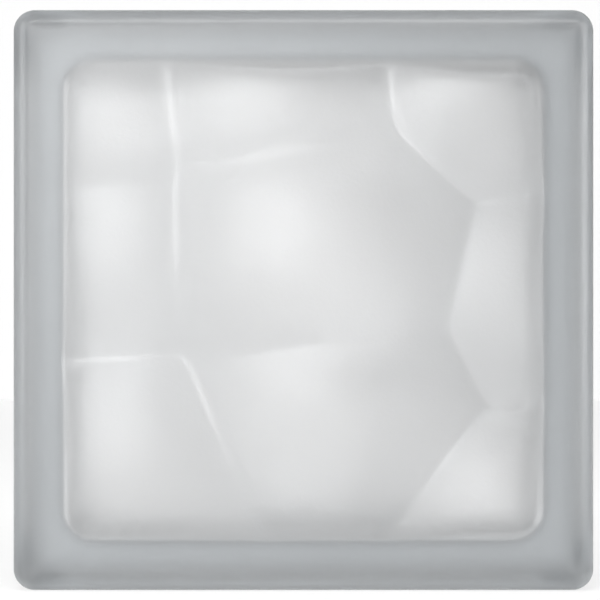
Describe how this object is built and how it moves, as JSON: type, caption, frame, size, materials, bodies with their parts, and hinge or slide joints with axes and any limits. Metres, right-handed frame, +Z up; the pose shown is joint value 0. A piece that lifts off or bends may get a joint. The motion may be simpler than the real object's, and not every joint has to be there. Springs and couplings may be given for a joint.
{
  "type": "glass block",
  "caption": "Square hollow glass block for masonry, with satin faces, a cloudy wave relief inside and a recessed mortar channel around its edge.",
  "frame": {"origin": "middle of the bed: the centre of the lower edge's footprint, on the floor", "axes": "+X along the wall to the right as seen from the front, front face towards -Y, +Z up"},
  "size_m": [0.19, 0.08, 0.19],
  "materials": {
    "satin_glass": "acid-etched satin faces on clear pressed soda-lime glass"
  },
  "bodies": {
    "root": {"glass_block": "satin_glass"}
  },
  "joints": []
}
